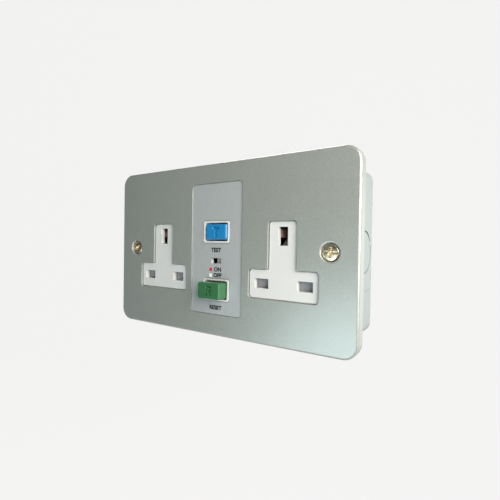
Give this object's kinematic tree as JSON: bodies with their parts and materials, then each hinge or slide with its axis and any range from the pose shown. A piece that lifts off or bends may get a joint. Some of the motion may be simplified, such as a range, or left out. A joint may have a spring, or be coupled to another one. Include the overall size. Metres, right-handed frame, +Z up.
{
  "type": "rcd wall socket",
  "caption": "Metal-clad surface wall socket with two switchless outlets and a built-in residual current device with test and reset buttons and a flag window.",
  "frame": {"origin": "centre of the back box's wall face", "axes": "+X along the plate's length to the right as seen from the front, +Y into the wall, +Z up"},
  "size_m": [0.146, 0.0527, 0.088],
  "materials": {
    "plate_paint": "grey-green metallic fleck paint, satin",
    "box_paint": "pale grey-green paint, satin",
    "white_moulding": "white urea moulding, soft gloss",
    "rear_moulding": "off-white moulding, matt",
    "silver_panel": "silver-grey satin",
    "blue_cap": "blue moulding, soft gloss",
    "green_cap": "green moulding, soft gloss",
    "grey_shutter": "grey moulding, matt",
    "flag_white": "off-white and red moulding, matt",
    "brass": "bright brass",
    "copper_strip": "copper alloy strip",
    "spring_steel": "spring steel",
    "plated_steel": "zinc plated steel",
    "copper_wire": "enamelled copper wire",
    "board_green": "green laminate",
    "coil_core": "black moulding, matt",
    "resistor_body": "tan lacquer"
  },
  "bodies": {
    "housing": {"back_box": "box_paint", "front_plate": "plate_paint", "module_front": "white_moulding", "module_rear": "rear_moulding", "label_panel": "silver_panel", "plate_screw_left": "brass", "plate_screw_right": "brass", "module_screw_1": "plated_steel", "module_screw_2": "plated_steel", "module_screw_3": "plated_steel", "module_screw_4": "plated_steel", "shutter_spring_left": "spring_steel", "shutter_spring_right": "spring_steel", "test_spring": "spring_steel", "reset_spring": "spring_steel", "plunger_spring": "spring_steel", "live_bar": "brass", "neutral_bar": "brass", "earth_bar": "copper_strip", "fixed_contact_live": "copper_strip", "fixed_contact_neutral": "copper_strip", "terminal_live": "brass", "terminal_neutral": "brass", "terminal_earth": "brass", "terminal_box_earth": "brass", "terminal_screw_live": "plated_steel", "terminal_screw_neutral": "plated_steel", "terminal_screw_earth": "plated_steel", "terminal_screw_box_earth": "plated_steel", "coil_bobbin": "rear_moulding", "coil_winding": "copper_wire", "coil_frame": "plated_steel", "latch_pin": "plated_steel", "circuit_board": "board_green", "sensing_toroid": "coil_core", "primary_lead_live": "copper_wire", "primary_lead_neutral": "copper_wire", "test_contact": "copper_strip", "test_resistor": "resistor_body", "filter_capacitor": "coil_core"},
    "test": {"test_button": "blue_cap"},
    "reset": {"reset_button": "green_cap", "contact_carriage": "coil_core", "moving_contact_live": "copper_strip", "moving_contact_neutral": "copper_strip"},
    "flag": {"indicator_flag": "flag_white"},
    "left_shutter": {"shutter_left": "grey_shutter"},
    "right_shutter": {"shutter_right": "grey_shutter"},
    "plunger": {"trip_plunger": "plated_steel"},
    "latch": {"trip_latch": "plated_steel"}
  },
  "joints": [
    {"name": "test_press", "type": "slide", "parent": "housing", "child": "test", "axis": [0, 1, 0], "range_m": [0, 0.002], "stiffness_N_per_m": 500, "springref_m": -0.003, "deforming": ["test_spring"]},
    {"name": "reset_press", "type": "slide", "parent": "housing", "child": "reset", "axis": [0, 1, 0], "range_m": [0, 0.0052], "stiffness_N_per_m": 500, "springref_m": -0.004, "deforming": ["reset_spring"]},
    {"name": "flag_slide", "type": "slide", "parent": "housing", "child": "flag", "axis": [-1, 0, 0], "range_m": [0, 0.0067]},
    {"name": "left_shutter_drop", "type": "slide", "parent": "housing", "child": "left_shutter", "axis": [0, 0, -1], "range_m": [0, 0.005], "stiffness_N_per_m": 150, "springref_m": -0.004, "deforming": ["shutter_spring_left"]},
    {"name": "right_shutter_drop", "type": "slide", "parent": "housing", "child": "right_shutter", "axis": [0, 0, -1], "range_m": [0, 0.005], "stiffness_N_per_m": 150, "springref_m": -0.004, "deforming": ["shutter_spring_right"]},
    {"name": "plunger_pull", "type": "slide", "parent": "housing", "child": "plunger", "axis": [-1, 0, 0], "range_m": [0, 0.002], "stiffness_N_per_m": 400, "springref_m": -0.002, "deforming": ["plunger_spring"]},
    {"name": "latch_turn", "type": "hinge", "parent": "housing", "child": "latch", "pos_m": [0.0104, -0.0268, -0.007], "axis": [0, -1, 0], "range_deg": [0, 17.4]}
  ],
  "couplings": [
    {"joint": "flag_slide", "follows": "reset_press", "ratio": 1.288},
    {"joint": "latch_turn", "follows": "plunger_pull", "rad_per_m": 150}
  ]
}
